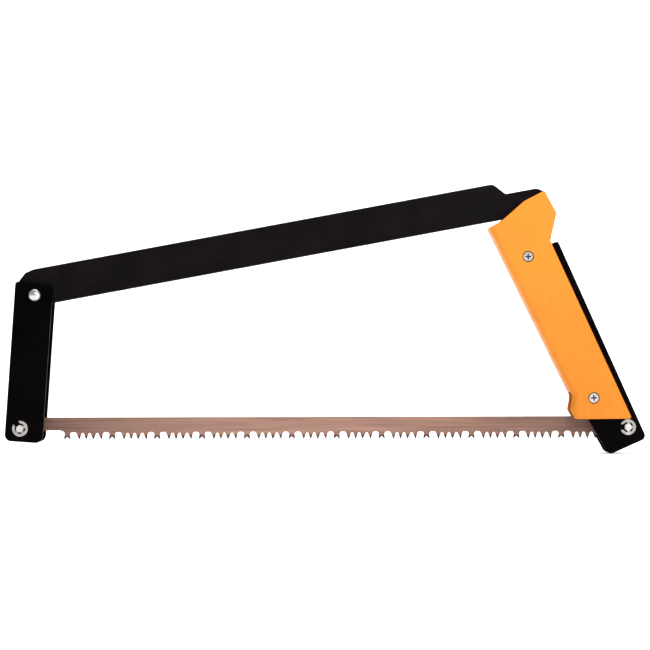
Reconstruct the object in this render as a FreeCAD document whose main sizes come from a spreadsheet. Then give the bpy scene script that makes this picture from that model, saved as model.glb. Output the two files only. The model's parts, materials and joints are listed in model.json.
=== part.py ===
"""Folding bow saw: two moulded grips, a top bar, a front arm, a rear lever bar and a toothed blade.

Each piece is drawn in the frame of the link that it belongs to, in the X-Z plane with Y across the saw:
the handle frame starts at the rear blade pin, the bar and arm frames at the front pivot, and the blade
frame at its rear hole. +X runs from the front arm to the handle and +Z is up. Lengths are millimetres.
"""
import FreeCAD, Part
import math
import os
import Sketcher
from FreeCAD import Placement, Rotation, Vector

SIZES = {
    "hole_spacing": 520.7,      # between the blade's two holes
    "rear_pin_x": 259.15,
    "rear_pin_z": 22.7,
    "handle_lean": 24.24,       # of the handle from upright, its top towards the front
    "blade_rise": 0.154,
    "arm_lean": 3.95,
    "bar_rise": 10.5,
    "arm_hole_x": -4.3,         # of the front blade hole from the front pivot, in the arm frame
    "arm_hole_z": -115.0,
    "bar_hole_x": 429.6,        # of the top bar's rear pivot from the front pivot, in the bar frame
    "bar_hole_z": -2.8,
    "lever_pivot_x": -16.8,     # in the handle frame
    "lever_pivot_z": 35.0,
    "grip_bolt_x": -18.4,
    "grip_bolt_z": 168.3,
    "sheet_wall": 1.5,          # of the three bent channels
    "bend_radius": 2.4,
    "bar_half": 7.0,            # half widths across the saw
    "arm_half": 9.5,
    "grip_inner": 9.9,
    "grip_half": 14.0,
    "slot_half": 1.4,           # of the blade slot between the grips
    "running_gap": 0.05,
    "end_gap": 0.1,
    "bar_low": -9.1,
    "bar_high": 22.2,
    "bar_front": -11.3,
    "bar_end": 447.0,
    "tongue_high": 11.7,
    "tongue_radius": 9.5,
    "arm_front": -17.5,
    "arm_back": 15.4,
    "arm_high": 10.2,
    "arm_low": -126.4,
    "arm_web_high": 6.0,
    "arm_slot_high": -100.0,    # of the slot that lets the folded blade past the arm's web
    "arm_slot_half": 1.6,
    "lever_back": 11.1,
    "lever_low": -15.2,
    "lever_high": 170.0,
    "lever_top_front": -12.5,
    "outline_radius": 5.0,
    "small_radius": 2.5,
    "wide_radius": 8.0,
    "grip_edge_radius": 3.0,
    "grip_corner_radius": 4.0,
    "blade_thick": 0.8,
    "blade_back": 9.0,
    "blade_root": -3.4,
    "neck_root": -2.2,
    "tooth_tip": -10.2,
    "tooth_tip_half": 0.35,
    "tooth_half": 2.9,
    "first_raker": 39.1,        # from the front hole
    "raker_pitch": 38.7,
    "raker_groups": 12,
    "raker_half": 3.1,
    "raker_notch": -6.4,
    "peg_one": 10.2,            # of each peg tooth behind its raker
    "peg_two": 16.2,
    "peg_three": 22.2,
    "peg_four": 29.3,
    "tab_radius": 9.0,
    "pin_radius": 3.0,
    "pin_half": 11.6,
    "stub_inner": 1.2,
    "groove_radius": 2.4,
    "clip_inner": 9.6,          # half distance across the saw to a clip's near face
    "clip_thick": 0.9,
    "clip_radius": 6.7,
    "clip_ring": 4.5,
    "clip_mouth": 5.0,
    "clip_prong": 2.2,
    "blade_spacer_radius": 5.0,
    "rivet_radius": 3.5,
    "rivet_head_radius": 5.2,
    "rivet_head_height": 2.8,
    "pivot_washer_radius": 8.0,
    "pivot_washer_thick": 0.8,
    "bar_pin_radius": 4.0,
    "bar_pin_half": 12.2,
    "socket_half": 12.4,
    "bar_washer_radius": 9.0,
    "spacer_radius": 5.5,
    "screw_radius": 2.0,
    "screw_head_radius": 4.5,
    "screw_head_height": 2.1,
    "screw_cross_length": 5.0,
    "screw_cross_width": 1.1,
    "screw_cross_depth": 1.2,
    "recess_radius": 5.4,
    "recess_depth": 2.5,
    "lever_bush_radius": 4.0,
    "lever_nut_flange": 6.0,
    "lever_nut_flange_thick": 0.6,
    "nut_radius": 3.6,
    "lever_nut_end": 4.9,
    "grip_nut_thick": 2.2,
    "slot_wall_bottom": 56.0,
}
CORNERS = {
    "bar_nose_low": (-11.3, 13.5),
    "bar_nose_mid": (-3.0, 20.0),
    "bar_nose_high": (6.0, 22.2),
    "bar_shoulder_high": (403.5, 22.2),
    "bar_shoulder_low": (413.0, 11.7),
    "lever_toe_low": (-25.0, -15.2),
    "lever_toe_high": (-27.9, 19.0),
    "lever_knee": (-27.0, 58.0),
    "lever_shin": (-12.5, 112.0),
    "grip_lip": (-38.9, 204.5),
    "grip_brow": (-27.0, 205.4),
    "grip_crest": (-2.1, 213.1),
    "grip_hump_top": (16.0, 214.3),
    "grip_hump_back": (21.0, 201.5),
    "grip_hump_tip": (18.0, 191.5),
    "grip_notch": (4.4, 173.0),
    "grip_heel": (5.8, 6.0),
    "grip_heel_low": (1.5, 6.6),
    "grip_toe": (-38.6, 25.0),
    "grip_toe_tip": (-37.5, 33.0),
    "grip_toe_root": (-33.2, 40.0),
    "wall_front_low": (-32.75, 56.0),
    "wall_back_low": (-28.2, 56.0),
    "wall_back_high": (-28.2, 206.2),
    "wall_front_high": (-36.5, 208.0),
}
UP_AND_DOWN = 60.0
WHOLE_HANDLE = 400.0

doc = FreeCAD.newDocument("BowSaw")
sheet = doc.addObject("Spreadsheet::Sheet", "Dimensions")


class Cell:
    """A number together with the sheet expression that gives it."""

    def __init__(self, value, text):
        self.value = float(value)
        self.text = text

    def __add__(self, other):
        other = as_cell(other)
        return Cell(self.value + other.value, "(%s + %s)" % (self.text, other.text))

    def __sub__(self, other):
        other = as_cell(other)
        return Cell(self.value - other.value, "(%s - %s)" % (self.text, other.text))

    def __mul__(self, number):
        return Cell(self.value * number, "(%s * %s)" % (self.text, number))

    def __neg__(self):
        return self * -1


def as_cell(item):
    """The item as a cell, whether it is one, a name in the sheet or a number."""
    if isinstance(item, Cell):
        return item
    if isinstance(item, str):
        return Cell(values[item], "Dimensions." + item)
    return Cell(item, str(item))


def fill_sheet():
    """Write each named size into the sheet and return all of them by name."""
    named = dict(SIZES)
    for name, (x, z) in CORNERS.items():
        named[name + "_x"] = x
        named[name + "_z"] = z
    for row, (name, value) in enumerate(named.items(), start=1):
        sheet.set("A%d" % row, name)
        sheet.set("B%d" % row, str(value))
        sheet.setAlias("B%d" % row, name)
    doc.recompute()
    return named


def corner(name):
    return as_cell(name + "_x"), as_cell(name + "_z")


def lean(angle):
    """The rotation that leans a frame's top by this many degrees towards +X."""
    return Rotation(Vector(0, 1, 0), angle)


def frames():
    """The placement of each link's own frame, from the rear blade pin round to the front pivot."""
    rear_pin = Vector(values["rear_pin_x"], 0, values["rear_pin_z"])
    blade = Placement(rear_pin, lean(-values["blade_rise"]))
    front_hole = blade.multVec(Vector(-values["hole_spacing"], 0, 0))
    arm_turn = lean(values["arm_lean"])
    front_pivot = front_hole - arm_turn.multVec(Vector(values["arm_hole_x"], 0, values["arm_hole_z"]))
    return {
        "handle": Placement(rear_pin, lean(-values["handle_lean"])),
        "blade": blade,
        "arm": Placement(front_pivot, arm_turn),
        "bar": Placement(front_pivot, lean(-values["bar_rise"])),
    }


def put(item, frame):
    """Place a finished piece in its link's frame."""
    item.Placement = places[frame]
    return item


def sketch_in(body, name, level=0):
    """A sketch in the body's X-Z plane, moved by level towards -Y."""
    sketch = body.newObject("Sketcher::SketchObject", name)
    plane = [item for item in body.Origin.OriginFeatures if item.Role == "XZ_Plane"][0]
    sketch.AttachmentSupport = [(plane, "")]
    sketch.MapMode = "FlatFace"
    level = as_cell(level)
    sketch.AttachmentOffset = Placement(Vector(0, 0, level.value), Rotation())
    sketch.setExpression("AttachmentOffset.Base.z", level.text)
    return sketch


def bind(sketch, kind, places_and_value, cell):
    index = sketch.addConstraint(Sketcher.Constraint(kind, *places_and_value, cell.value))
    sketch.setExpression("Constraints[%d]" % index, cell.text)


def add_outline(sketch, corners):
    """Add a closed outline of straight lines whose corners are bound to the sheet."""
    first = sketch.GeometryCount
    points = [Vector(x.value, z.value, 0) for x, z in corners]
    count = len(points)
    for index in range(count):
        sketch.addGeometry(Part.LineSegment(points[index], points[(index + 1) % count]), False)
    for index in range(count):
        following = first + (index + 1) % count
        sketch.addConstraint(Sketcher.Constraint("Coincident", first + index, 2, following, 1))
    for index, (x, z) in enumerate(corners):
        bind(sketch, "DistanceX", (-1, 1, first + index, 1), x)
        bind(sketch, "DistanceY", (-1, 1, first + index, 1), z)


def add_circle(sketch, x, z, radius):
    """Add a circle whose centre and radius are bound to the sheet."""
    index = sketch.GeometryCount
    x, z, radius = as_cell(x), as_cell(z), as_cell(radius)
    sketch.addGeometry(Part.Circle(Vector(x.value, z.value, 0), Vector(0, 0, 1), radius.value), False)
    bind(sketch, "DistanceX", (-1, 1, index, 3), x)
    bind(sketch, "DistanceY", (-1, 1, index, 3), z)
    bind(sketch, "Radius", (index,), radius)


def box_corners(x_low, x_high, z_low, z_high):
    x_low, x_high, z_low, z_high = map(as_cell, (x_low, x_high, z_low, z_high))
    return [(x_low, z_low), (x_high, z_low), (x_high, z_high), (x_low, z_high)]


def grow(body, kind, sketch, length, side="Symmetric", reverse=False):
    """Pad or pocket a sketch and check that it changed the body's volume the right way."""
    doc.recompute()
    before = body.Tip.Shape.Volume if body.Tip else 0.0
    feature = body.newObject("PartDesign::" + kind, kind)
    feature.Profile = sketch
    feature.SideType = side
    feature.Reversed = reverse
    length = as_cell(length)
    feature.Length = length.value
    feature.setExpression("Length", length.text)
    doc.recompute()
    change = feature.Shape.Volume - before
    if (kind == "Pad") != (change > 0) or abs(change) < 1e-6:
        raise RuntimeError("%s in %s changed the volume by %g" % (kind, body.Label, change))
    return feature


def round_off(body, radius, wanted):
    """Fillet those edges of the body's tip for which wanted(edge) is true."""
    base = body.Tip
    names = ["Edge%d" % number for number, edge in enumerate(base.Shape.Edges, start=1) if wanted(edge)]
    if not names:
        raise RuntimeError("no edge to round in " + body.Label)
    fillet = body.newObject("PartDesign::Fillet", "Round")
    fillet.Base = (base, names)
    radius = as_cell(radius)
    fillet.Radius = radius.value
    fillet.setExpression("Radius", radius.text)
    doc.recompute()


def crosses_at(corners):
    """A test for straight edges that run across the saw through one of these corners."""
    def wanted(edge):
        middle = edge.CenterOfMass
        box = edge.BoundBox
        across = box.XLength < 1e-4 and box.ZLength < 1e-4
        near = [abs(middle.x - x.value) + abs(middle.z - z.value) < 0.05 for x, z in corners]
        return across and any(near)
    return wanted


def new_body(name):
    body = doc.addObject("PartDesign::Body", name)
    body.Label = name
    return body


def drill(body, holes, length=UP_AND_DOWN):
    """Cut round holes right across the body: each hole is x, z and radius."""
    sketch = sketch_in(body, "Holes")
    for x, z, radius in holes:
        add_circle(sketch, x, z, radius)
    grow(body, "Pocket", sketch, length)


def running(radius):
    return as_cell(radius) + "running_gap"


def top_bar():
    """Inverted channel with an open nose, and two ears without a web at its rear pivot."""
    body = new_body("top_bar")
    low, high, end = as_cell("bar_low"), as_cell("bar_high"), as_cell("bar_end")
    front_low = (as_cell("bar_front"), low)
    end_high = (end, as_cell("tongue_high"))
    end_low = (end, low)
    outline = [front_low, corner("bar_nose_low"), corner("bar_nose_mid"), corner("bar_nose_high"),
               corner("bar_shoulder_high"), corner("bar_shoulder_low"), end_high, end_low]
    sketch = sketch_in(body, "Side")
    add_outline(sketch, outline)
    grow(body, "Pad", sketch, as_cell("bar_half") * 2)
    round_off(body, "bend_radius", lambda edge: is_bend(edge, "bar_half", edge.BoundBox.ZMin, high.value))
    round_off(body, "tongue_radius", crosses_at([end_high, end_low]))
    round_off(body, "small_radius", crosses_at([front_low, corner("bar_nose_low")]))
    inside = sketch_in(body, "Inside")
    wall = as_cell("sheet_wall")
    add_outline(inside, box_corners(-UP_AND_DOWN, end + UP_AND_DOWN, -UP_AND_DOWN, high - wall))
    grow(body, "Pocket", inside, (as_cell("bar_half") - wall) * 2)
    drill(body, [(0, 0, running("rivet_radius")), ("bar_hole_x", "bar_hole_z", running("bar_pin_radius"))])
    return put(body, "bar")


def is_bend(edge, half_name, level, wanted_level):
    """Whether a long edge runs along a channel's outer corner at the wanted level."""
    side = abs(abs(edge.CenterOfMass.y) - values[half_name]) < 1e-3
    return side and edge.Length > 50 and abs(level - wanted_level) < 1e-3


def front_arm():
    """Channel that opens to the rear and straddles the top bar's nose."""
    body = new_body("front_arm")
    front, back, high, low = map(as_cell, ("arm_front", "arm_back", "arm_high", "arm_low"))
    sketch = sketch_in(body, "Side")
    add_outline(sketch, box_corners(front, back, low, high))
    grow(body, "Pad", sketch, as_cell("arm_half") * 2)
    round_off(body, "outline_radius", crosses_at([(back, high), (back, low)]))
    round_off(body, "bend_radius", lambda edge: is_bend(edge, "arm_half", edge.BoundBox.XMin, front.value))
    inner = (as_cell("arm_half") - "sheet_wall") * 2
    inside = sketch_in(body, "Inside")
    add_outline(inside, box_corners(front + "sheet_wall", UP_AND_DOWN, low - UP_AND_DOWN, high + UP_AND_DOWN))
    grow(body, "Pocket", inside, inner)
    notch = sketch_in(body, "WebNotch")
    add_outline(notch, box_corners(-UP_AND_DOWN, 0, "arm_web_high", high + UP_AND_DOWN))
    grow(body, "Pocket", notch, inner)
    slot = sketch_in(body, "BladeSlot")
    add_outline(slot, box_corners(-UP_AND_DOWN, front + "bend_radius", low - 1.0, "arm_slot_high"))
    grow(body, "Pocket", slot, as_cell("arm_slot_half") * 2)
    drill(body, [(0, 0, running("rivet_radius")), ("arm_hole_x", "arm_hole_z", running("pin_radius"))])
    return put(body, "arm")


def rear_bar():
    """Channel that opens to the front: the tension lever that holds the blade's rear end."""
    body = new_body("rear_bar")
    back, low, high = map(as_cell, ("lever_back", "lever_low", "lever_high"))
    back_low, back_high = (back, low), (back, high)
    top_front = (as_cell("lever_top_front"), high)
    outline = [corner("lever_toe_low"), back_low, back_high, top_front,
               corner("lever_shin"), corner("lever_knee"), corner("lever_toe_high")]
    sketch = sketch_in(body, "Side")
    add_outline(sketch, outline)
    grow(body, "Pad", sketch, as_cell("arm_half") * 2)
    round_off(body, "outline_radius", crosses_at([corner("lever_toe_low"), top_front]))
    round_off(body, "outline_radius", crosses_at([corner("lever_knee"), corner("lever_toe_high")]))
    round_off(body, "bend_radius", lambda edge: is_bend(edge, "arm_half", edge.BoundBox.XMin, back.value))
    inside = sketch_in(body, "Inside")
    wall = as_cell("sheet_wall")
    add_outline(inside, box_corners(-UP_AND_DOWN, back - wall, low - UP_AND_DOWN, high + UP_AND_DOWN))
    grow(body, "Pocket", inside, (as_cell("arm_half") - wall) * 2)
    drill(body, [(0, 0, running("pin_radius")),
                 ("lever_pivot_x", "lever_pivot_z", running("lever_bush_radius"))])
    return put(body, "handle")


def grip(name, side):
    """One moulded grip half: a side wall and half of the slotted front wall. side is 1 on -Y, -1 on +Y."""
    body = new_body(name)
    outside = as_cell("grip_half")
    inner = as_cell("grip_inner")
    reverse = side < 0
    outline = [corner("grip_" + point) for point in (
        "lip", "brow", "crest", "hump_top", "hump_back", "hump_tip", "notch",
        "heel", "heel_low", "toe", "toe_tip", "toe_root")]
    sketch = sketch_in(body, "Side", inner * side)
    add_outline(sketch, outline)
    grow(body, "Pad", sketch, outside - inner, "One side", reverse)
    tight = [corner("grip_" + point) for point in ("hump_top", "hump_back", "hump_tip", "toe", "toe_tip")]
    round_off(body, "grip_corner_radius", crosses_at(tight))
    gentle = [corner("grip_" + point) for point in ("brow", "crest", "notch", "toe_root")]
    round_off(body, "wide_radius", crosses_at(gentle))
    face = -outside.value * side
    round_off(body, "grip_edge_radius", lambda edge: abs(edge.BoundBox.YMin - face) < 1e-3
              and abs(edge.BoundBox.YMax - face) < 1e-3)
    wall = sketch_in(body, "FrontWall", as_cell("slot_half") * side)
    add_outline(wall, [corner("wall_" + point) for point in
                       ("front_low", "back_low", "back_high", "front_high")] + [corner("grip_lip")])
    grow(body, "Pad", wall, inner + 1.0 - "slot_half", "One side", reverse)
    drill(body, [("lever_pivot_x", "lever_pivot_z", running("screw_radius")),
                 ("grip_bolt_x", "grip_bolt_z", running("screw_radius"))])
    recess = sketch_in(body, "Recesses", (outside - "recess_depth") * side)
    add_circle(recess, "lever_pivot_x", "lever_pivot_z", "recess_radius")
    add_circle(recess, "grip_bolt_x", "grip_bolt_z", "recess_radius")
    grow(body, "Pocket", recess, UP_AND_DOWN, "One side", not reverse)
    socket = sketch_in(body, "PinSocket", as_cell("socket_half") * side)
    add_circle(socket, bar_pivot[0], bar_pivot[1], running("bar_pin_radius"))
    grow(body, "Pocket", socket, UP_AND_DOWN, "One side", reverse)
    return put(body, "handle")


def tooth_outlines(start):
    """The outlines of one raker, with its notched double point, and of the four pegs behind it."""
    root, tip = as_cell("neck_root") + 0.5, as_cell("tooth_tip")
    gullet = as_cell("blade_root")
    half, wide = as_cell("tooth_tip_half"), as_cell("tooth_half")
    raker_wide = as_cell("raker_half")
    raker = [(start - raker_wide, root), (start - raker_wide, gullet), (start - raker_wide, tip + 0.2),
             (start - raker_wide + half * 2, tip), (start, as_cell("raker_notch")),
             (start + raker_wide - half * 2, tip), (start + raker_wide, tip + 0.2),
             (start + raker_wide, gullet), (start + raker_wide, root)]
    outlines = [raker]
    for name in ("peg_one", "peg_two", "peg_three", "peg_four"):
        middle = start + as_cell(name)
        outlines.append([(middle - wide, root), (middle - wide, gullet), (middle - half, tip),
                         (middle + half, tip), (middle + wide, gullet), (middle + wide, root)])
    return outlines


def saw_blade():
    """Thin blade with a round tab at each hole and twelve groups of a raker and four pegs."""
    body = new_body("saw_blade")
    span = as_cell("hole_spacing")
    sketch = sketch_in(body, "Strip")
    add_outline(sketch, box_corners(-span, 0, "neck_root", "blade_back"))
    grow(body, "Pad", sketch, "blade_thick")
    for name, x in (("FrontTab", -span), ("RearTab", as_cell(0))):
        tab = sketch_in(body, name)
        add_circle(tab, x, 0, "tab_radius")
        grow(body, "Pad", tab, "blade_thick")
    teeth = sketch_in(body, "Teeth")
    start = as_cell("first_raker") - span
    for outline in tooth_outlines(start):
        add_outline(teeth, outline)
    group = grow(body, "Pad", teeth, "blade_thick")
    pattern = body.newObject("PartDesign::LinearPattern", "ToothGroups")
    pattern.Originals = [group]
    pattern.Direction = (teeth, ["H_Axis"])
    pattern.Mode = "Spacing"
    pattern.Offset = values["raker_pitch"]
    pattern.setExpression("Offset", "Dimensions.raker_pitch")
    pattern.Occurrences = int(values["raker_groups"])
    pattern.setExpression("Occurrences", "Dimensions.raker_groups")
    body.Tip = pattern
    doc.recompute()
    drill(body, [(-span, 0, running("pin_radius")), (0, 0, running("pin_radius"))])
    return put(body, "blade")


def disc(name, x, z, radius, y_low, y_high):
    """A cylinder across the saw from y_low to y_high, in its link's own frame."""
    x, z, radius, y_low, y_high = map(as_cell, (x, z, radius, y_low, y_high))
    item = doc.addObject("Part::Cylinder", name)
    item.setExpression("Radius", radius.text)
    item.setExpression("Height", (y_high - y_low).text)
    item.Placement = Placement(Vector(x.value, y_low.value, z.value), Rotation(Vector(1, 0, 0), -90))
    item.setExpression("Placement.Base.x", x.text)
    item.setExpression("Placement.Base.y", y_low.text)
    item.setExpression("Placement.Base.z", z.text)
    return item


def block(name, x, z, wide, tall, y_low, y_high, turn=0.0):
    """A box centred on x and z, from y_low to y_high, turned about its own middle."""
    x, z, wide, tall, y_low, y_high = map(as_cell, (x, z, wide, tall, y_low, y_high))
    item = doc.addObject("Part::Box", name)
    item.setExpression("Length", wide.text)
    item.setExpression("Height", tall.text)
    item.setExpression("Width", (y_high - y_low).text)
    turned = lean(turn)
    offset = turned.multVec(Vector(wide.value / 2, 0, tall.value / 2))
    item.Placement = Placement(Vector(x.value - offset.x, y_low.value, z.value - offset.z), turned)
    return item


def cut(name, base, tool):
    item = doc.addObject("Part::Cut", name)
    item.Base = base
    item.Tool = tool
    return item


def join(name, pieces):
    item = doc.addObject("Part::MultiFuse", name)
    item.Shapes = pieces
    return item


def tube(name, x, z, outer, bore, y_low, y_high):
    body = disc(name + "_body", x, z, outer, y_low, y_high)
    hole = disc(name + "_bore", x, z, bore, as_cell(y_low) - 1.0, as_cell(y_high) + 1.0)
    return cut(name, body, hole)


def pair(name, make, frame):
    """Two separate solids in one node, one on each side of the saw."""
    group = doc.addObject("Part::Compound", name)
    group.Links = [make(name + "_left", -1), make(name + "_right", 1)]
    group.Label = name
    return put(group, frame)


def single(item, name, frame):
    item.Label = name
    return put(item, frame)


def span_of(side, near, far):
    """The low and high ends of a stretch that runs from near to far on one side of the saw."""
    near, far = as_cell(near) * side, as_cell(far) * side
    return (near, far) if side > 0 else (far, near)


def sided_tube(x, z, outer, bore, near, far):
    """A maker of one tube of a pair, from near to far off the middle plane."""
    def make(name, side):
        return tube(name, x, z, outer, bore, *span_of(side, near, far))
    return make


def grooved_pin(name, x, z, y_low, y_high, groove_sides):
    """A pin with a clip groove near each named end."""
    pin = disc(name + "_body", x, z, "pin_radius", y_low, y_high)
    for side in groove_sides:
        low, high = span_of(side, "clip_inner", as_cell("clip_inner") + "clip_thick")
        ring = tube("%s_groove%d" % (name, side + 1), x, z, as_cell("pin_radius") + 1.0,
                    "groove_radius", low, high)
        pin = cut("%s_cut%d" % (name, side + 1), pin, ring)
    return pin


def e_clip(x, z, mouth_angle):
    """A maker of one E-shaped clip: an open ring with three prongs that reach the pin's groove."""
    def make(name, side):
        low, high = span_of(side, as_cell("clip_inner") + 0.05, as_cell("clip_inner") + "clip_thick" - 0.05)
        ring = tube(name + "_ring", x, z, "clip_radius", "clip_ring", low, high)
        prongs = [ring]
        reach = (as_cell("clip_ring") + 0.4 - "groove_radius")
        middle = (values["clip_ring"] + 0.4 + values["groove_radius"]) / 2 + 0.02
        for number, turn in enumerate((180, 100, -100)):
            angle = math.radians(mouth_angle + turn)
            across = as_cell(x) + middle * math.cos(angle)
            up = as_cell(z) + middle * math.sin(angle)
            prongs.append(block("%s_prong%d" % (name, number), across, up, reach, "clip_prong",
                                low, high, -(mouth_angle + turn)))
        whole = join(name + "_whole", prongs)
        angle = math.radians(mouth_angle)
        away = values["clip_radius"]
        mouth = block(name + "_mouth", as_cell(x) + away * math.cos(angle),
                      as_cell(z) + away * math.sin(angle), as_cell("clip_radius") * 1.4,
                      "clip_mouth", low - 1.0, high + 1.0, -mouth_angle)
        return cut(name, whole, mouth)
    return make


def phillips_screw(name, x, z, far, side):
    """A screw whose head sits in a grip's recess on one side and whose shank reaches y = far * side."""
    floor = as_cell("grip_half") - "recess_depth"
    top = floor + "screw_head_height"
    head = disc(name + "_head", x, z, "screw_head_radius", *span_of(side, floor, top))
    rim = top - 0.6
    skirt = tube(name + "_skirt", x, z, as_cell("screw_head_radius") + 1.0,
                 as_cell("screw_head_radius") - 0.5, *span_of(side, rim, top + 1.0))
    shank_ends = span_of(side, far, floor + 0.5)
    shank = disc(name + "_shank", x, z, "screw_radius", *shank_ends)
    cross = []
    for number, turn in enumerate((20, 110)):
        low, high = span_of(side, top - "screw_cross_depth", top + 1.0)
        cross.append(block("%s_cross%d" % (name, number), x, z, "screw_cross_length",
                           "screw_cross_width", low, high, turn))
    whole = cut(name + "_blank", join(name + "_solid", [head, shank]), skirt)
    return cut(name, whole, join(name + "_drive", cross))


def hex_nut(name, x, z, y_low, y_high, bore):
    """A hexagonal nut round a screw."""
    prism = doc.addObject("Part::Prism", name + "_hex")
    y_low, y_high = as_cell(y_low), as_cell(y_high)
    prism.Polygon = 6
    prism.setExpression("Circumradius", "Dimensions.nut_radius")
    prism.setExpression("Height", (y_high - y_low).text)
    place = Vector(as_cell(x).value, y_low.value, as_cell(z).value)
    prism.Placement = Placement(place, Rotation(Vector(1, 0, 0), -90))
    hole = disc(name + "_bore", x, z, bore, y_low - 1.0, y_high + 1.0)
    return cut(name, prism, hole)


def lever_nut(x, z):
    """A maker of one flanged nut that holds the lever's flange on its bush."""
    def make(name, side):
        seat = as_cell("arm_half") - "sheet_wall" - 0.3
        neck = seat - "lever_nut_flange_thick"
        flange = tube(name + "_flange", x, z, "lever_nut_flange", running("screw_radius"),
                      *span_of(side, neck, seat))
        low, high = span_of(side, "lever_nut_end", neck)
        nut = hex_nut(name + "_nut", x, z, low, high, running("screw_radius"))
        return join(name, [flange, nut])
    return make


def handle_fasteners():
    """The bolt that joins the grips, the lever's two pivot screws and the top bar's pivot pin."""
    bolt_x, bolt_z = as_cell("grip_bolt_x"), as_cell("grip_bolt_z")
    lever_x, lever_z = as_cell("lever_pivot_x"), as_cell("lever_pivot_z")
    pivot_x, pivot_z = bar_pivot
    nut_floor = as_cell("grip_half") - "recess_depth"
    nut_top = nut_floor + "grip_nut_thick"
    inner = as_cell("grip_inner")
    seat = as_cell("arm_half") - "sheet_wall" - 0.3
    made = [single(phillips_screw("grip_screw", bolt_x, bolt_z, -nut_top, -1), "grip_screw", "handle")]
    nut = hex_nut("grip_nut", bolt_x, bolt_z, nut_floor, nut_top, "screw_radius")
    made.append(single(nut, "grip_nut", "handle"))
    spacer = tube("grip_spacer", bolt_x, bolt_z, "spacer_radius", running("screw_radius"), -inner, inner)
    made.append(single(spacer, "grip_spacer", "handle"))

    def lever_screw(name, side):
        return phillips_screw(name, lever_x, lever_z, "lever_nut_end", side)
    made.append(pair("lever_pivot_screws", lever_screw, "handle"))
    made.append(pair("lever_pivot_bushes", sided_tube(lever_x, lever_z, "lever_bush_radius",
                                                      running("screw_radius"), seat, inner), "handle"))
    made.append(pair("lever_pivot_nuts", lever_nut(lever_x, lever_z), "handle"))
    half = as_cell("bar_pin_half")
    pin = doc.addObject("Part::Compound", "top_bar_pivot_pin")
    pin.Links = [disc("top_bar_pivot_rod", pivot_x, pivot_z, "bar_pin_radius", -half, half)]
    made.append(single(pin, "top_bar_pivot_pin", "handle"))
    made.append(pair("top_bar_pivot_washers",
                     sided_tube(pivot_x, pivot_z, "bar_washer_radius", running("bar_pin_radius"),
                                as_cell("bar_half") + "end_gap", inner), "handle"))
    bar_inner = as_cell("bar_half") - "sheet_wall" - "end_gap"
    tube_here = tube("top_bar_pivot_spacer", pivot_x, pivot_z, as_cell("bar_pin_radius") + 2.0,
                     running("bar_pin_radius"), -bar_inner, bar_inner)
    made.append(single(tube_here, "top_bar_pivot_spacer", "handle"))
    return made


def front_pivot_pieces():
    """The domed rivet through the arm and the top bar, its washers and the spacer inside the bar."""
    half, height = as_cell("arm_half"), as_cell("rivet_head_height")
    radius = as_cell("rivet_head_radius")
    shank = disc("rivet_shank", 0, 0, "rivet_radius", -half - 0.1, half + 0.1)
    heads = [shank]
    for name, side in (("left", -1), ("right", 1)):
        ball = doc.addObject("Part::Sphere", "rivet_ball_" + name)
        ball_radius = (radius.value ** 2 + height.value ** 2) / (2 * height.value)
        ball.Radius = ball_radius
        ball.Placement.Base = Vector(0, side * (half.value + 0.1 + height.value - ball_radius), 0)
        low, high = span_of(side, half + 0.1, half + height + 1.0)
        keep = disc("rivet_keep_" + name, 0, 0, radius + 1.0, low, high)
        dome = doc.addObject("Part::Common", "rivet_dome_" + name)
        dome.Base = ball
        dome.Tool = keep
        heads.append(dome)
    made = [single(join("front_pivot_rivet", heads), "front_pivot_rivet", "bar")]
    bar_side = as_cell("bar_half") + "end_gap"
    made.append(pair("front_pivot_washers",
                     sided_tube(0, 0, "pivot_washer_radius", running("rivet_radius"),
                                bar_side, bar_side + "pivot_washer_thick"), "bar"))
    inner = as_cell("bar_half") - "sheet_wall"
    spacer = tube("front_pivot_spacer", 0, 0, as_cell("rivet_radius") + 2.0, running("rivet_radius"),
                  -inner, inner)
    made.append(single(spacer, "front_pivot_spacer", "bar"))
    return made


def blade_pin_pieces():
    """The pins through the blade's two holes, with their clips and spacers."""
    end = as_cell("pin_half")
    inner = as_cell("arm_half") - "sheet_wall" - "end_gap"
    x, z = as_cell("arm_hole_x"), as_cell("arm_hole_z")

    def stub(name, side):
        return grooved_pin(name, x, z, *span_of(side, "stub_inner", end), (side,))
    made = [pair("front_blade_pins", stub, "arm")]
    made.append(pair("front_clips", e_clip(x, z, 128.0), "arm"))
    made.append(pair("front_blade_spacers",
                     sided_tube(x, z, "blade_spacer_radius", "pin_radius", "stub_inner", inner), "arm"))
    pin = grooved_pin("rear_blade_pin", 0, 0, -end, end, (-1, 1))
    made.append(single(pin, "rear_blade_pin", "handle"))
    made.append(pair("rear_clips", e_clip(0, 0, 155.0), "handle"))
    near = as_cell("blade_thick") * 0.5 + "end_gap"
    made.append(pair("rear_blade_spacers",
                     sided_tube(0, 0, "blade_spacer_radius", "pin_radius", near, inner), "handle"))
    return made


def check_and_export(pieces):
    """Stop at any failed object, then write one file for each sub-part."""
    doc.recompute()
    for item in doc.Objects:
        if "Invalid" in item.State or "Error" in item.State:
            raise RuntimeError("%s failed: %s" % (item.Label, item.State))
    for item in pieces:
        if item.Shape.isNull() or not item.Shape.isValid() or not item.Shape.Solids:
            raise RuntimeError("bad shape: " + item.Label)
    os.makedirs("parts", exist_ok=True)
    for item in pieces:
        item.Shape.exportStep("parts/%s.step" % item.Label)
        box = item.Shape.BoundBox
        print("%-24s solids %d  x %.1f..%.1f  y %.1f..%.1f  z %.1f..%.1f  volume %.0f" % (
            item.Label, len(item.Shape.Solids), box.XMin, box.XMax, box.YMin, box.YMax,
            box.ZMin, box.ZMax, item.Shape.Volume))


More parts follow.
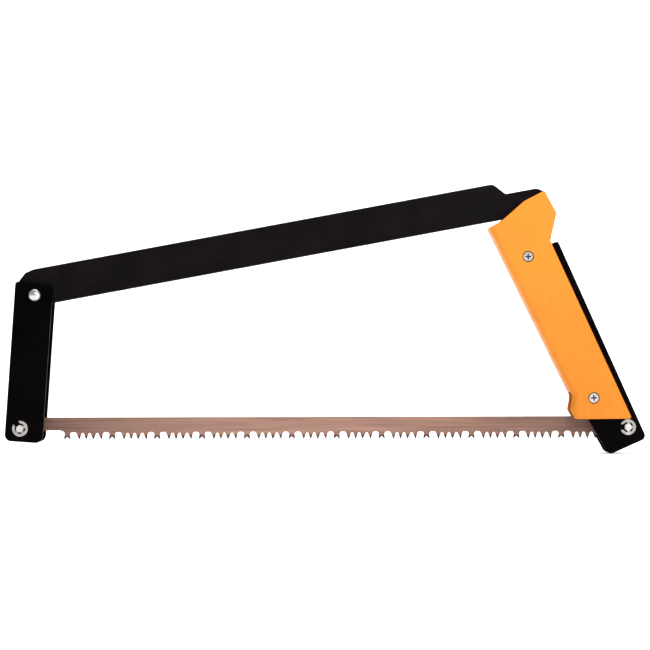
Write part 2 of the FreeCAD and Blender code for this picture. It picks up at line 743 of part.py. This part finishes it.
values = fill_sheet()
places = frames()
pivot_in_handle = places["handle"].inverse().multVec(
    places["bar"].multVec(Vector(values["bar_hole_x"], 0, values["bar_hole_z"])))
bar_pivot = (as_cell(round(pivot_in_handle.x, 4)), as_cell(round(pivot_in_handle.z, 4)))
pieces = [grip("left_grip", 1), grip("right_grip", -1), top_bar(), front_arm(), rear_bar(), saw_blade()]
pieces += handle_fasteners() + front_pivot_pieces() + blade_pin_pieces()
check_and_export(pieces)
for name, place in places.items():
    print(name, "frame at", [round(number, 4) for number in place.Base])
print("top bar pivot at", places["handle"].multVec(pivot_in_handle))
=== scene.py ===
import json
import math

import bmesh
import bpy
from mathutils import Matrix, Vector


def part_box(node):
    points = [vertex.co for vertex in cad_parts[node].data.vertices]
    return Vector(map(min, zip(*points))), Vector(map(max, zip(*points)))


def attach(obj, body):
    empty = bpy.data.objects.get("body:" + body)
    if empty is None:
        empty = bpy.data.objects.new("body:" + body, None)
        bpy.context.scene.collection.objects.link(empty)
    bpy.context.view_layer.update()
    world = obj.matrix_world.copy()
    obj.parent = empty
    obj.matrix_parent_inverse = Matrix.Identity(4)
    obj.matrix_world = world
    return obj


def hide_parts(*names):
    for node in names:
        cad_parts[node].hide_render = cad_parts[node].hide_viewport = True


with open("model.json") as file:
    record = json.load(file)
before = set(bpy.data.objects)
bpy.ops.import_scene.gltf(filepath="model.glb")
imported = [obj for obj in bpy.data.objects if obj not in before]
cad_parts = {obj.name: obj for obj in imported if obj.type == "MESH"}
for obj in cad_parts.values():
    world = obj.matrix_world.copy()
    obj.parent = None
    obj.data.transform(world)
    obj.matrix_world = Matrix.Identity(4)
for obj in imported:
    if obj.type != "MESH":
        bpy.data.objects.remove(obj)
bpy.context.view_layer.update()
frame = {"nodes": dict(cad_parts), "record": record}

MM = 0.001
ARC_STEP = math.radians(9)
SHARP_ANGLE = math.radians(32)
HANDLE_LEAN = 24.24         # degrees from upright, top towards the front
BAR_RISE = 10.5
ARM_LEAN = 3.95
BLADE_RISE = 0.154
SHEET_WALL = 1.5            # millimetres, as every local size below
BEND_RADIUS = 2.4
BAR_HALF = 7.0
ARM_HALF = 9.5
GRIP_HALF = 14.0
GRIP_INNER = 9.9
SLOT_HALF = 1.4
GRIP_ROLL = 7.0
EDGE_BREAK = 0.7
ROLL_STEPS = 10
CORNER_STEPS = 6
BLADE_HALF = 0.4
TAB_RADIUS = 9.0
NECK = -2.2                 # of the blade's lower edge beside its tabs
TOOTHLESS_END = -22.5
PIN_RADIUS = 3.05
RIVET_RADIUS = 3.55
PIVOT_RADIUS = 4.05
SCREW_RADIUS = 2.1
RECESS_RADIUS = 4.85
RECESS_FLOOR = 11.5
SOCKET_FLOOR = 12.4
SOCKET_RADIUS = 4.1
HOLLOW_BACK = -28.2
HOLLOW_LOW = 48.0
NOTCH_HALF = 8.0
FOLD_SLOT_HALF = 1.6
HOLE_SPACING = 520.7
ARM_HOLE = (-4.3, -115.0)
BAR_HOLE = (429.6, -2.8)
LEVER_PIVOT = (-16.8, 35.0)
GRIP_BOLT = (-18.4, 168.3)
TEETH_FIRST = 39.1
GROUP_PITCH = 38.7
GROUPS = 12
PEGS = (10.3, 16.3, 22.3, 29.4)
TIP = -10.2
FLOOR_REACH = 9.0           # metres, as every size of the backdrop
WALL_START = 1.2
WALL_CURVE = 0.9
WALL_HEIGHT = 3.2

joint_places = {joint["name"]: Vector(joint["pos_m"]) for joint in frame["record"]["behaviour"]["joints"]}
REAR_PIN = joint_places["rear_pin_turn"]
FRONT_PIVOT = joint_places["front_arm_fold"]
BAR_PIVOT = joint_places["fold"]


def local_frame(origin, rise):
    """The place of a local frame whose x axis rises by this many degrees towards +X."""
    return Matrix.Translation(origin) @ Matrix.Rotation(-math.radians(rise), 4, "Y")


HANDLE = local_frame(REAR_PIN, HANDLE_LEAN)
BLADE = local_frame(REAR_PIN, BLADE_RISE)
BAR = local_frame(FRONT_PIVOT, BAR_RISE)
ARM = local_frame(FRONT_PIVOT, -ARM_LEAN)


def rounded(corners, steps=None):
    """A closed outline from corners (x, z) or (x, z, radius). Each radius becomes an arc."""
    points = []
    for index, corner in enumerate(corners):
        here = Vector(corner[:2])
        if len(corner) == 2:
            points.append(here)
            continue
        back = (Vector(corners[index - 1][:2]) - here).normalized()
        ahead = (Vector(corners[(index + 1) % len(corners)][:2]) - here).normalized()
        half = back.angle(ahead) / 2
        radius = corner[2]
        centre = here + (back + ahead).normalized() * (radius / math.sin(half))
        start = here + back * (radius / math.tan(half)) - centre
        end = here + ahead * (radius / math.tan(half)) - centre
        turn = start.angle_signed(end)
        parts = steps or max(2, math.ceil(abs(turn) / ARC_STEP))
        for step in range(parts + 1):
            spoke = start.copy()
            spoke.rotate(Matrix.Rotation(-turn * step / parts, 2))
            points.append(centre + spoke)
    return points


def circle(x, z, radius, count=48):
    angles = [2 * math.pi * i / count for i in range(count)]
    return [Vector((x + radius * math.cos(a), z + radius * math.sin(a))) for a in angles]


def face_outwards(solid):
    """Make the faces agree and point out of the solid, as its signed volume tells."""
    bmesh.ops.recalc_face_normals(solid, faces=solid.faces)
    if solid.calc_volume(signed=True) < 0:
        bmesh.ops.reverse_faces(solid, faces=solid.faces)


def prism(points, low, high):
    """A bmesh solid: the outline in x and z, from y = low to y = high."""
    solid = bmesh.new()
    near = [solid.verts.new((p.x, low, p.y)) for p in points]
    far = [solid.verts.new((p.x, high, p.y)) for p in points]
    solid.faces.new(near)
    solid.faces.new(reversed(far))
    for index in range(len(points)):
        after = (index + 1) % len(points)
        solid.faces.new((near[after], near[index], far[index], far[after]))
    face_outwards(solid)
    return solid


def bevel(solid, wanted, width, segments):
    edges = [edge for edge in solid.edges if wanted(edge)]
    bmesh.ops.bevel(solid, geom=edges, offset=width, offset_type="OFFSET", segments=segments,
                    profile=0.5, affect="EDGES", clamp_overlap=False)


def lies_at(edge, axis, level):
    return all(abs(vertex.co[axis] - level) < 1e-4 for vertex in edge.verts)


def as_object(solid, name):
    mesh = bpy.data.meshes.new(name)
    solid.to_mesh(mesh)
    solid.free()
    made = bpy.data.objects.new(name, mesh)
    bpy.context.scene.collection.objects.link(made)
    return made


def cut_by(target, solid, operation="DIFFERENCE"):
    """Apply one exact boolean with a solid that is then thrown away."""
    cutter = as_object(solid, "cutter")
    step = target.modifiers.new("Cut", "BOOLEAN")
    step.solver = "EXACT"
    step.operation = operation
    step.object = cutter
    result = bpy.data.meshes.new_from_object(target.evaluated_get(bpy.context.evaluated_depsgraph_get()))
    target.modifiers.clear()
    target.data = result
    bpy.data.objects.remove(cutter)


def finish_piece(piece, place, material, body, node):
    """Put a piece built in local millimetres in its place, give it its body and finish, and hide the CAD node it
    replaces.
    """
    tidy = bmesh.new()
    tidy.from_mesh(piece.data)
    bmesh.ops.remove_doubles(tidy, verts=tidy.verts, dist=1e-4)
    bmesh.ops.dissolve_degenerate(tidy, edges=tidy.edges, dist=1e-4)
    tidy.to_mesh(piece.data)
    tidy.free()
    piece.data.transform(place @ Matrix.Scale(MM, 4))
    piece.data.materials.clear()
    piece.data.materials.append(material)
    for face in piece.data.polygons:
        face.use_smooth = True
    piece.data.set_sharp_from_angle(angle=SHARP_ANGLE)
    weighted = piece.modifiers.new("Normals", "WEIGHTED_NORMAL")
    weighted.keep_sharp = True
    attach(piece, body)
    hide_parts(node)


def srgb(red, green, blue):
    linear = [(c / 255 / 12.92) if c <= 10 else ((c / 255 + 0.055) / 1.055) ** 2.4
              for c in (red, green, blue)]
    return (*linear, 1.0)


class Look:
    """A material graph around one Principled shader, with short calls for the nodes it needs."""

    def __init__(self, name, metallic, specular=0.5):
        self.material = bpy.data.materials.new(name)
        self.material.use_nodes = True
        self.tree = self.material.node_tree
        self.shader = self.tree.nodes["Principled BSDF"]
        self.shader.inputs["Metallic"].default_value = metallic
        self.shader.inputs["Specular IOR Level"].default_value = specular
        self.place = self.tree.nodes.new("ShaderNodeTexCoord").outputs["Object"]

    def link(self, start, end):
        self.tree.links.new(start, end)

    def stretched(self, scale):
        node = self.tree.nodes.new("ShaderNodeMapping")
        node.inputs["Scale"].default_value = scale
        self.link(self.place, node.inputs["Vector"])
        return node.outputs["Vector"]

    def noise(self, scale, detail=3.0, stretch=None):
        node = self.tree.nodes.new("ShaderNodeTexNoise")
        node.inputs["Scale"].default_value = scale
        node.inputs["Detail"].default_value = detail
        self.link(self.stretched(stretch) if stretch else self.place, node.inputs["Vector"])
        return node.outputs["Fac"]

    def ramp(self, factor, stops):
        node = self.tree.nodes.new("ShaderNodeValToRGB")
        elements = node.color_ramp.elements
        while len(elements) < len(stops):
            elements.new(0.5)
        for element, (position, colour) in zip(elements, stops):
            element.position = position
            element.color = colour
        self.link(factor, node.inputs["Fac"])
        return node.outputs["Color"]

    def spread(self, factor, low, high, start=0.3, end=0.7):
        node = self.tree.nodes.new("ShaderNodeMapRange")
        node.inputs["From Min"].default_value = start
        node.inputs["From Max"].default_value = end
        node.inputs["To Min"].default_value = low
        node.inputs["To Max"].default_value = high
        self.link(factor, node.inputs["Value"])
        return node.outputs["Result"]

    def mix(self, factor, first, second, blend="MIX"):
        node = self.tree.nodes.new("ShaderNodeMix")
        node.data_type = "RGBA"
        node.blend_type = blend
        self.link(factor, node.inputs["Factor"])
        for socket, item in ((node.inputs[6], first), (node.inputs[7], second)):
            if isinstance(item, tuple):
                socket.default_value = item
            else:
                self.link(item, socket)
        return node.outputs[2]

    def axis(self, name):
        node = self.tree.nodes.new("ShaderNodeSeparateXYZ")
        self.link(self.place, node.inputs["Vector"])
        return node.outputs[name]

    def sum_of(self, first, factor, second):
        """second plus first times factor."""
        node = self.tree.nodes.new("ShaderNodeMath")
        node.operation = "MULTIPLY_ADD"
        self.link(first, node.inputs[0])
        node.inputs[1].default_value = factor
        self.link(second, node.inputs[2])
        return node.outputs["Value"]

    def bumps(self, *layers):
        """Chain bump nodes: each layer is height, strength and depth in metres."""
        normal = None
        for height, strength, depth in layers:
            node = self.tree.nodes.new("ShaderNodeBump")
            node.inputs["Strength"].default_value = strength
            node.inputs["Distance"].default_value = depth
            self.link(height, node.inputs["Height"])
            if normal:
                self.link(normal, node.inputs["Normal"])
            normal = node.outputs["Normal"]
        self.link(normal, self.shader.inputs["Normal"])

    def colour(self, socket):
        self.link(socket, self.shader.inputs["Base Color"])

    def roughness(self, socket):
        self.link(socket, self.shader.inputs["Roughness"])


def moulded_plastic():
    """Satin orange plastic: darker towards the bottom, faint scuffs and a fine moulded texture."""
    look = Look("GripPlastic", 0.0, 0.25)
    cloudy = look.noise(24.0, 4.0)
    upper = look.ramp(cloudy, [(0.3, srgb(226, 139, 38)), (0.7, srgb(231, 144, 42))])
    lower = look.ramp(cloudy, [(0.3, srgb(214, 127, 31)), (0.7, srgb(220, 132, 35))])
    # the orange darkens towards the bottom, from object height 0.2 m down to 0.05 m
    darker_towards_bottom = look.mix(look.spread(look.axis("Z"), 0.0, 1.0, 0.05, 0.2), lower, upper)
    scuffs = look.noise(900.0, 2.0, (1.0, 1.0, 0.12))
    look.colour(look.mix(look.spread(scuffs, 0.0, 0.5, 0.62, 0.74), darker_towards_bottom, srgb(236, 156, 66)))
    look.roughness(look.spread(look.noise(160.0, 4.0), 0.36, 0.52))
    look.shader.inputs["Subsurface Weight"].default_value = 0.05
    look.shader.inputs["Subsurface Scale"].default_value = 0.003
    look.bumps((look.noise(2600.0, 2.0), 0.22, 0.00006), (look.noise(60.0, 2.0), 0.1, 0.0004))
    return look.material


def black_coating(name, dark, light, specular):
    """Black finish over metal: fine grain, cloudy sheen and rare dusty specks."""
    look = Look(name, 0.0, specular)
    base = look.ramp(look.noise(45.0, 5.0), [(0.3, dark), (0.75, light)])
    specks = look.spread(look.noise(1500.0, 1.0), 0.0, 0.5, 0.7, 0.8)
    look.colour(look.mix(specks, base, srgb(58, 52, 56)))
    look.roughness(look.spread(look.noise(90.0, 5.0, (1.0, 1.0, 0.5)), 0.3, 0.5))
    look.bumps((look.noise(3200.0, 2.0), 0.16, 0.00004), (look.noise(38.0, 3.0), 0.12, 0.0003))
    return look.material


def blade_steel():
    """Heat-browned steel with lengthwise grain and dark hardened tooth tips."""
    look = Look("BladeSteel", 0.35, 0.4)
    low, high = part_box("saw_blade")
    along = look.spread(look.axis("X"), 0.0, 1.0, low[0], high[0])
    tone = look.ramp(along, [(0.0, srgb(118, 88, 78)), (0.07, srgb(136, 102, 90)), (0.25, srgb(163, 126, 110)),
                             (0.45, srgb(174, 135, 118)), (0.62, srgb(168, 129, 113)), (0.79, srgb(146, 111, 97)),
                             (0.93, srgb(126, 94, 84)), (1.0, srgb(96, 73, 67))])
    grain = look.noise(420.0, 5.0, (0.035, 1.0, 1.0))
    streaks = look.ramp(grain, [(0.32, srgb(168, 166, 165)), (0.68, srgb(255, 255, 255))])
    patches = look.noise(30.0, 4.0, (0.35, 1.0, 1.0))
    brushed = look.mix(look.spread(patches, 0.35, 0.85), tone, streaks, "MULTIPLY")
    level = look.sum_of(look.axis("X"), -math.tan(math.radians(BLADE_RISE)), look.axis("Z"))
    middle = REAR_PIN.z - REAR_PIN.x * math.tan(math.radians(BLADE_RISE))
    wavy = look.sum_of(look.noise(240.0, 2.0), 0.0012, level)
    hard = look.spread(wavy, 1.0, 0.0, middle - 0.0064, middle - 0.0056)
    warm = look.spread(wavy, 1.0, 0.0, middle - 0.0056, middle - 0.0042)
    bordered = look.mix(warm, brushed, srgb(150, 104, 78))
    look.colour(look.mix(hard, bordered, srgb(66, 55, 60)))
    look.roughness(look.spread(grain, 0.34, 0.52))
    look.bumps((grain, 0.18, 0.00005), (look.noise(2800.0, 2.0, (0.2, 1.0, 1.0)), 0.12, 0.00003))
    return look.material


def plated_steel(name, dark, light, rough):
    """Plated steel of the rivet, nuts, pins and clips."""
    look = Look(name, 0.92)
    look.colour(look.ramp(look.noise(260.0, 4.0), [(0.3, dark), (0.7, light)]))
    look.roughness(look.spread(look.noise(700.0, 4.0), rough - 0.07, rough + 0.09))
    look.bumps((look.noise(3600.0, 2.0), 0.14, 0.00003))
    return look.material


def nylon():
    """Dark nylon of the washers and spacers."""
    look = Look("Nylon", 0.0, 0.08)
    look.colour(look.ramp(look.noise(180.0, 3.0), [(0.3, srgb(9, 7, 9)), (0.7, srgb(15, 12, 14))]))
    look.roughness(look.spread(look.noise(300.0, 3.0), 0.4, 0.6))
    look.bumps((look.noise(2400.0, 2.0), 0.15, 0.00004))
    return look.material


def screw_steel_painted_shade():
    """Plated screw heads with painted shade: their cross and sides, below the flat of the head, are painted dark.
    """
    look = Look("ScrewSteelPaintedShade", 0.85)
    plate = look.ramp(look.noise(420.0, 4.0), [(0.3, srgb(186, 184, 184)), (0.7, srgb(222, 220, 218))])
    depth = look.tree.nodes.new("ShaderNodeMath")
    depth.operation = "ABSOLUTE"
    look.link(look.axis("Y"), depth.inputs[0])
    # painted shade: the cross and sides of each head, deeper than its flat, get a dark colour in place of the
    # plating
    look.colour(look.mix(look.spread(depth.outputs["Value"], 0.0, 1.0, 0.0131, 0.01345), srgb(34, 32, 34), plate))
    look.roughness(look.spread(look.noise(700.0, 4.0), 0.24, 0.4))
    look.bumps((look.noise(3600.0, 2.0), 0.14, 0.00003))
    return look.material


PLASTIC = moulded_plastic()
SCREW_PAINTED_SHADE = screw_steel_painted_shade()
BAR_COATING = black_coating("BarCoating", srgb(9, 6, 9), srgb(17, 12, 17), 0.06)
ARM_COATING = black_coating("ArmCoating", srgb(2, 1, 2), srgb(6, 4, 6), 0.02)
STEEL = blade_steel()
BRIGHT = plated_steel("BrightSteel", srgb(188, 186, 184), srgb(222, 220, 217), 0.26)
CLIP = plated_steel("ClipSteel", srgb(150, 146, 142), srgb(196, 191, 186), 0.3)
NYLON = nylon()


def grip_outline(inset):
    """The grip's side outline with its finger side moved back by the inset."""
    return rounded([(-38.9 + inset, 204.5 + 0.076 * inset, 0.6), (-27.0, 205.4, 4.0), (-2.1, 213.1, 8.0),
                    (17.4, 214.2, 1.6), (18.9, 192.2, 1.6), (4.4, 173.0, 3.0), (5.8, 5.4, 1.6),
                    (-39.2 + inset, 25.2 - 0.43 * inset, 2.6), (-40.0 + inset, 33.4, 3.4),
                    (-33.2 + inset, 43.5, 9.0)], CORNER_STEPS)


def grip(name, node, mirrored):
    """One grip half with a rolled finger side, built at +Y and mirrored for the camera's side."""
    levels = [(SLOT_HALF, 0.0)]
    for step in range(ROLL_STEPS + 1):
        angle = math.pi / 2 * step / ROLL_STEPS
        levels.append((GRIP_HALF - GRIP_ROLL + GRIP_ROLL * math.sin(angle), GRIP_ROLL * (1 - math.cos(angle))))
    solid = bmesh.new()
    rings = [[solid.verts.new((p.x, level, p.y)) for p in grip_outline(inset)] for level, inset in levels]
    count = len(rings[0])
    for low, high in zip(rings, rings[1:]):
        for index in range(count):
            after = (index + 1) % count
            solid.faces.new((low[index], low[after], high[after], high[index]))
    solid.faces.new(rings[0])
    solid.faces.new(rings[-1])
    face_outwards(solid)
    bevel(solid, lambda edge: lies_at(edge, 1, GRIP_HALF) and edge.calc_face_angle() > math.radians(50),
          EDGE_BREAK, 3)
    piece = as_object(solid, name)
    hollow = [Vector(p) for p in ((HOLLOW_BACK, HOLLOW_LOW), (HOLLOW_BACK, 206.2), (-60.0, 212.0),
                                  (60.0, 250.0), (60.0, -40.0), (-60.0, -40.0), (-60.0, HOLLOW_LOW))]
    cut_by(piece, prism(hollow, 0.5, GRIP_INNER))
    for x, z in (LEVER_PIVOT, GRIP_BOLT):
        cut_by(piece, prism(circle(x, z, SCREW_RADIUS), 8.0, 16.0))
        cut_by(piece, prism(circle(x, z, RECESS_RADIUS), RECESS_FLOOR, 16.0))
    pin = HANDLE.inverted() @ BAR_PIVOT / MM
    cut_by(piece, prism(circle(pin.x, pin.z, SOCKET_RADIUS), 8.0, SOCKET_FLOOR))
    if mirrored:
        piece.data.transform(Matrix.Scale(-1, 4, (0, 1, 0)))
        piece.data.flip_normals()
    finish_piece(piece, HANDLE, PLASTIC, "handle", node)


def box_outline(x_low, x_high, z_low, z_high):
    return [Vector(p) for p in ((x_low, z_low), (x_high, z_low), (x_high, z_high), (x_low, z_high))]


def channel(name, outline, block, inside, half, is_bend, holes):
    """Bent sheet: a block with rounded bends, trimmed to its outline and hollowed."""
    solid = prism(box_outline(*block), -half, half)
    bevel(solid, is_bend, BEND_RADIUS, 6)
    piece = as_object(solid, name)
    cut_by(piece, prism(rounded(outline), -half - 2.0, half + 2.0), "INTERSECT")
    room = half - SHEET_WALL
    cut_by(piece, prism(box_outline(*inside), -room, room))
    for x, z, radius in holes:
        cut_by(piece, prism(circle(x, z, radius), -half - 3.0, half + 3.0))
    return piece


def is_long_bend(axis, level, half):
    """A test for the two long edges where the web, at this level on this axis, meets the flanges."""
    return lambda edge: lies_at(edge, axis, level) and (lies_at(edge, 1, half) or lies_at(edge, 1, -half))


def top_bar():
    """Channel that opens downwards, with its flanges left as ears at the rear pivot."""
    outline = [(-11.3, -9.1, 2.5), (447.0, -9.1, 9.5), (447.0, 11.7, 9.5), (413.0, 11.7, 3.5),
               (403.5, 22.2, 6.5), (3.0, 22.2, 8.0), (-4.6, 20.2, 4.0), (-11.3, 14.3, 2.5)]
    piece = channel("top_bar_sheet", outline, (-12.3, 448.0, -15.0, 22.2), (-20.0, 460.0, -20.0, 20.7),
                    BAR_HALF, is_long_bend(2, 22.2, BAR_HALF),
                    [(0.0, 0.0, RIVET_RADIUS), (*BAR_HOLE, PIVOT_RADIUS)])
    finish_piece(piece, BAR, BAR_COATING, "top_bar", "top_bar")


def front_arm():
    """Channel that opens to the rear, notched for the bar's nose and slotted for the folded blade."""
    outline = [(-17.5, -126.4, 6.2), (15.4, -126.4, 6.2), (15.4, 9.2, 5.0), (-17.5, 10.9, 3.5)]
    piece = channel("front_arm_sheet", outline, (-17.5, 20.0, -130.0, 14.0), (-16.0, 25.0, -135.0, 20.0),
                    ARM_HALF, is_long_bend(0, -17.5, ARM_HALF),
                    [(0.0, 0.0, RIVET_RADIUS), (*ARM_HOLE, PIN_RADIUS)])
    cut_by(piece, prism(box_outline(-25.0, 0.0, 6.0, 20.0), -NOTCH_HALF, NOTCH_HALF))
    cut_by(piece, prism(box_outline(-25.0, -15.0, -135.0, -100.0), -FOLD_SLOT_HALF, FOLD_SLOT_HALF))
    finish_piece(piece, ARM, ARM_COATING, "front_arm", "front_arm")


def rear_bar():
    """Channel that closes the handle's back."""
    outline = [(-25.0, -15.2, 5.0), (11.1, -15.2, 5.0), (11.1, 170.0, 2.6), (-12.5, 170.0, 5.0),
               (-12.5, 112.0, 8.0), (-27.0, 58.0, 8.0), (-27.9, 19.0, 5.0)]
    piece = channel("rear_bar_sheet", outline, (-40.0, 11.1, -20.0, 175.0), (-50.0, 9.6, -25.0, 180.0),
                    ARM_HALF, is_long_bend(0, 11.1, ARM_HALF),
                    [(0.0, 0.0, PIN_RADIUS), (*LEVER_PIVOT, PIVOT_RADIUS)])
    finish_piece(piece, HANDLE, ARM_COATING, "rear_bar", "rear_bar")


def tooth_edge():
    """The blade's lower edge from front to rear: rakers with notches, round gullets and peg teeth."""
    points = []
    for group in range(GROUPS):
        raker = TEETH_FIRST - HOLE_SPACING + group * GROUP_PITCH
        points += [(raker - 7.6, -3.7, 2.2), (raker - 2.1, -3.7, 2.2), (raker - 2.9, TIP), (raker - 2.6, TIP),
                   (raker, -7.7, 0.3), (raker + 2.6, TIP), (raker + 2.9, TIP),
                   (raker + 2.1, -3.7, 2.2), (raker + 7.6, -3.7, 2.2)]
        for index, peg in enumerate(PEGS):
            points += [(raker + peg - 0.2, TIP), (raker + peg + 0.2, TIP)]
            if index < len(PEGS) - 1:
                valley = raker + (peg + PEGS[index + 1]) / 2
                points += [(valley - 0.8, -4.5, 0.7), (valley + 0.8, -4.5, 0.7)]
    points[0] = (TEETH_FIRST - HOLE_SPACING - 6.0, NECK)
    return points


def arc(x, z, radius, start, end, count=24):
    angles = [math.radians(start + (end - start) * i / count) for i in range(count + 1)]
    return [(x + radius * math.cos(a), z + radius * math.sin(a)) for a in angles]


def saw_blade():
    """Thin blade in one piece, with a round tab at each hole."""
    meets = math.degrees(math.asin(-NECK / TAB_RADIUS))
    outline = arc(-HOLE_SPACING, 0, TAB_RADIUS, 90, 360 - meets) + tooth_edge() + [(TOOTHLESS_END, NECK)]
    outline += arc(0, 0, TAB_RADIUS, 180 + meets, 450)
    piece = as_object(prism(rounded(outline), -BLADE_HALF, BLADE_HALF), "blade_toothed")
    for x in (-HOLE_SPACING, 0.0):
        cut_by(piece, prism(circle(x, 0.0, PIN_RADIUS), -2.0, 2.0))
    finish_piece(piece, BLADE, STEEL, "blade", "saw_blade")


grip("left_grip_shell", "left_grip", True)
grip("right_grip_shell", "right_grip", False)
top_bar()
front_arm()
rear_bar()
saw_blade()

FINISHES = {
    "grip_screw": SCREW_PAINTED_SHADE, "grip_nut": BRIGHT, "grip_spacer": NYLON, "lever_pivot_screws": SCREW_PAINTED_SHADE,
    "lever_pivot_bushes": NYLON, "lever_pivot_nuts": BRIGHT, "top_bar_pivot_pin": BRIGHT,
    "top_bar_pivot_washers": NYLON, "top_bar_pivot_spacer": NYLON, "front_pivot_rivet": BRIGHT,
    "front_pivot_washers": NYLON, "front_pivot_spacer": NYLON, "front_blade_pins": BRIGHT,
    "front_clips": CLIP, "front_blade_spacers": NYLON, "rear_blade_pin": BRIGHT, "rear_clips": CLIP,
    "rear_blade_spacers": NYLON, "left_grip": PLASTIC, "right_grip": PLASTIC, "top_bar": BAR_COATING,
    "front_arm": ARM_COATING, "rear_bar": ARM_COATING, "saw_blade": STEEL,
}
for node_name, node in frame["nodes"].items():
    for slot in node.material_slots:
        slot.material = FINISHES[node_name]


def backdrop():
    """A pale floor that curves up into a wall behind the saw."""
    profile = [(-FLOOR_REACH, 0.0), (WALL_START, 0.0)]
    profile += [(WALL_START + WALL_CURVE * math.sin(a), WALL_CURVE - WALL_CURVE * math.cos(a)) for a in
                [math.radians(step * 9) for step in range(1, 11)]]
    profile.append((WALL_START + WALL_CURVE, WALL_HEIGHT))
    sweep = bmesh.new()
    rows = [[sweep.verts.new((x, y, z - 0.0002)) for x in (-FLOOR_REACH, FLOOR_REACH)] for y, z in profile]
    for low, high in zip(rows, rows[1:]):
        sweep.faces.new((low[0], low[1], high[1], high[0]))
    floor = as_object(sweep, "floor")
    for face in floor.data.polygons:
        face.use_smooth = True
    look = Look("FloorPaint", 0.0, 0.1)
    look.shader.inputs["Base Color"].default_value = (0.93, 0.93, 0.93, 1.0)
    look.shader.inputs["Emission Color"].default_value = (1.0, 1.0, 1.0, 1.0)
    look.shader.inputs["Emission Strength"].default_value = 0.35
    look.roughness(look.spread(look.noise(12.0), 0.75, 0.85))
    floor.data.materials.append(look.material)


def area_light(name, place, target, size, power):
    lamp = bpy.data.lights.new(name, "AREA")
    lamp.shape = "RECTANGLE"
    lamp.size, lamp.size_y = size
    lamp.energy = power
    made = bpy.data.objects.new(name, lamp)
    made.location = place
    made.rotation_euler = (Vector(target) - Vector(place)).to_track_quat("-Z", "Y").to_euler()
    bpy.context.scene.collection.objects.link(made)


backdrop()
area_light("key", (0.7, -1.7, 1.3), (0.0, 0.0, 0.1), (1.2, 0.9), 22.0)
area_light("fill", (1.6, -1.2, 0.7), (0.0, 0.0, 0.1), (0.9, 1.2), 9.0)
area_light("top", (0.0, 0.3, 1.9), (0.0, 0.0, 0.1), (1.8, 1.0), 14.0)
area_light("wall", (0.0, 0.9, 2.2), (0.0, 2.0, 0.6), (2.6, 0.8), 40.0)

world = bpy.data.worlds.new("Studio")
world.use_nodes = True
world.node_tree.nodes["Background"].inputs["Color"].default_value = (1.0, 1.0, 1.0, 1.0)
world.node_tree.nodes["Background"].inputs["Strength"].default_value = 0.36
bpy.context.scene.world = world

camera_data = bpy.data.cameras.new("Camera")
camera_data.lens = 98.3
camera_data.sensor_width = 36.0
camera = bpy.data.objects.new("Camera", camera_data)
camera.location = (-0.00035, -1.53, 0.1101)
camera.rotation_euler = (math.radians(90), 0.0, 0.0)
bpy.context.scene.collection.objects.link(camera)
bpy.context.scene.camera = camera
bpy.context.scene.view_settings.view_transform = "Standard"
